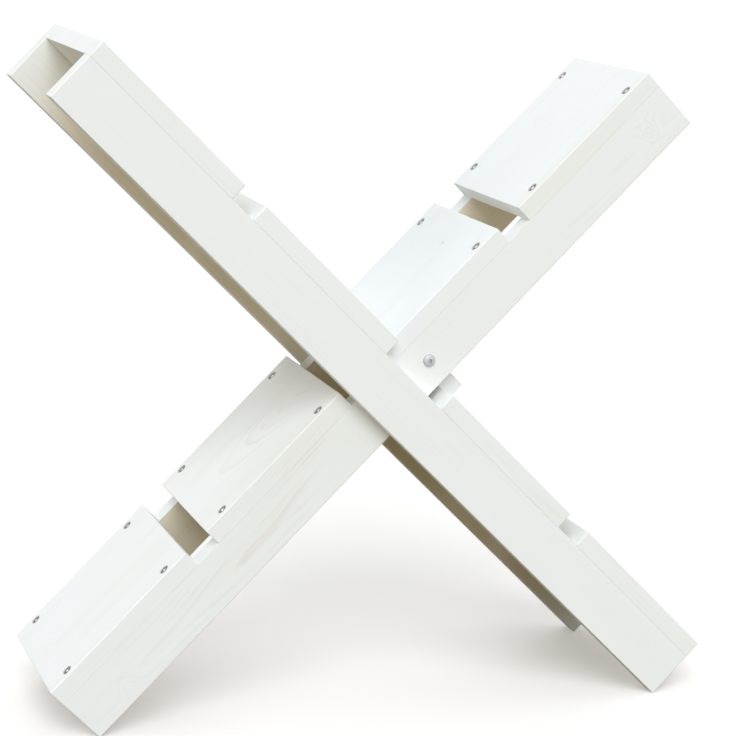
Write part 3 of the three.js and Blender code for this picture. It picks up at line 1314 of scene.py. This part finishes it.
@dataclass(frozen=True)
class SoftLamp:
    """A far soft lamp, with where it stands seen from the rack and its spread in degrees."""

    name: str
    strength: float
    stand: Point
    spread: float
    coolness: float

    def hang(self) -> None:
        """Hangs the lamp. A cool one has less red than white, and more blue."""
        data = bpy.data.lights.new(self.name, "SUN")
        data.energy = self.strength
        data.color = (1 - 0.7 * self.coolness, 1.0, 1 + self.coolness)
        data.angle = radians(self.spread)
        toward = -np.array(self.stand) / np.linalg.norm(self.stand)
        side = np.cross(toward, [0.0, 0.0, 1.0])
        side /= np.linalg.norm(side)
        link_new(data, (side, np.cross(side, toward), -toward))


@dataclass(frozen=True)
class Studio:
    """Camera, plain soft lights, pale floor and background."""

    place: Point = (-1.2179, -3.4511, 1.3557)
    yaw: float = radians(17.359)
    pitch: float = radians(11.721)
    roll: float = radians(1.166)
    lens: float = 112.5
    sensor: float = 36.0
    shift: Pair = (0.12, -0.05)
    sight: float = 200.0
    soft_lamps: tuple[SoftLamp, ...] = (
        SoftLamp("key", 1.9, (-0.23, -0.72, 0.655), 40.0, 0.045),
        SoftLamp("front", 0.6, (0.1, -1.0, 0.05), 50.0, 0.10),
        SoftLamp("left", 0.8, (-0.98, -0.15, 0.10), 45.0, 0.0),
        SoftLamp("right", 0.4, (0.98, -0.15, 0.10), 45.0, 0.0),
        SoftLamp("back", 0.9, (0.25, 0.88, 0.38), 60.0, 0.02),
    )
    zenith: Colour = (0.51, 0.52, 0.525, 1.0)
    horizon: Colour = (0.365, 0.34, 0.285, 1.0)
    white: Colour = (1.0, 1.0, 1.0, 1.0)
    dome_height: float = 0.6
    floor_size: float = 60.0
    floor_dull: str = "8b7e5f"
    floor_pale: Colour = (0.81, 0.795, 0.775, 1.0)
    floor_lift: float = 0.25

    def camera(self) -> None:
        """Sets the camera at the photograph's angle, from its yaw, downward pitch and roll."""
        level = np.array([cos(self.yaw), -sin(self.yaw), 0.0])
        ahead = np.array([sin(self.yaw), cos(self.yaw), 0.0])
        forward = ahead * cos(self.pitch) - np.array([0.0, 0.0, sin(self.pitch)])
        upward = np.cross(level, forward)
        right = level * cos(self.roll) + upward * sin(self.roll)
        up = upward * cos(self.roll) - level * sin(self.roll)
        data = bpy.data.cameras.new("camera")
        data.sensor_width = self.sensor
        data.lens = self.lens
        data.shift_x, data.shift_y = self.shift
        data.clip_end = self.sight
        bpy.context.scene.camera = link_new(data, (right, up, -forward), self.place)

    def seen(self, tree: Tree) -> Socket:
        """Tells rays of the eye, straight, mirrored or through glass, from others.

        Args:
            tree: The node tree.

        Returns:
            1 for them and 0 for others.
        """
        rays = add_node(tree, "LightPath").outputs
        seen = rays["Is Camera Ray"]
        for name in ("Is Glossy Ray", "Is Transmission Ray"):
            seen = add_node(tree, "Math", {0: seen, 1: rays[name]}, operation="MAXIMUM").outputs[0]
        return seen

    def world(self) -> None:
        """Makes the sky white where it is seen or mirrored, and a soft dome, warm and weak at its foot."""
        world = bpy.data.worlds.new("studio")
        bpy.context.scene.world = world
        world.use_nodes = True
        tree = world.node_tree
        tree.nodes.clear()
        place = add_node(tree, "TexCoord").outputs["Generated"]
        height = add_node(tree, "SeparateXYZ", {"Vector": place}).outputs["Z"]
        climb = {"Value": height, "From Min": 0.0, "From Max": self.dome_height}
        climb = add_node(tree, "MapRange", climb).outputs["Result"]
        dome = {"Factor": climb, "A": self.horizon, "B": self.zenith}
        dome = add_node(tree, "Mix", dome, data_type="RGBA").outputs["Result"]
        light, white = (add_node(tree, "Background", {"Color": c}).outputs[0] for c in (dome, self.white))
        both = add_node(tree, "MixShader", {0: self.seen(tree), 1: light, 2: white})
        add_node(tree, "OutputWorld", {"Surface": both.outputs[0]})

    def floor(self) -> None:
        """Lays the floor: white to the eye, with the rack's shadow, and a duller bounce for other rays."""
        half = self.floor_size / 2
        corners = [(-half, -half, 0), (half, -half, 0), (half, half, 0), (-half, half, 0)]
        mesh = bpy.data.meshes.new("floor")
        mesh.from_pydata(corners, [], [(0, 1, 2, 3)])
        material, tree = new_material("pale_floor")
        colours = (linear(self.floor_dull), self.floor_pale)
        dull, pale = (add_node(tree, "BsdfDiffuse", {"Color": c}).outputs[0] for c in colours)
        lift = {"Color": self.white, "Strength": self.floor_lift}
        lift = add_node(tree, "Emission", lift).outputs[0]
        shown = add_node(tree, "AddShader", {0: pale, 1: lift}).outputs[0]
        both = add_node(tree, "MixShader", {0: self.seen(tree), 1: dull, 2: shown})
        add_node(tree, "OutputMaterial", {"Surface": both.outputs[0]})
        mesh.materials.append(material)
        link_new(mesh)

    def build(self) -> None:
        """Sets up the whole studio."""
        bpy.context.scene.view_settings.view_transform = "Standard"
        self.camera()
        for lamp in self.soft_lamps:
            lamp.hang()
        self.world()
        self.floor()


def main() -> None:
    """Builds the studio and then the rack, piece by piece."""
    logging.basicConfig(level=logging.INFO, format="%(name)s: %(message)s")
    Studio().build()
    pine = WhitewashedPine().make()
    # The last tone is the recess's: a bright painted glint for the screws, a slightly dark painted shade
    # for the bolts.
    screw_steel = ZincSteel("zinc_plated_screw_steel", "686969", "4c4d4d", "e2e2e0", 0.36).make()
    bolt_steel = ZincSteel("dull_zinc_bolt_steel", "c1c2c2", "b3b4b5", "b4b5b5", 0.66).make()
    stop = CrossingStop()
    for assembly in (BeamAssembly(Beam.OUTER, 101), BeamAssembly(Beam.INNER, 202)):
        for board in assembly.boards():
            if board.node.startswith("inner_side_board"):
                board.bores.append(stop.side_bore(board))
            board.build(pine)
        for screw in assembly.screws():
            screw.build(screw_steel)
    stop.board().build(pine)
    for bolt in stop.fasteners():
        bolt.build(bolt_steel)


if __name__ == "__main__":
    main()
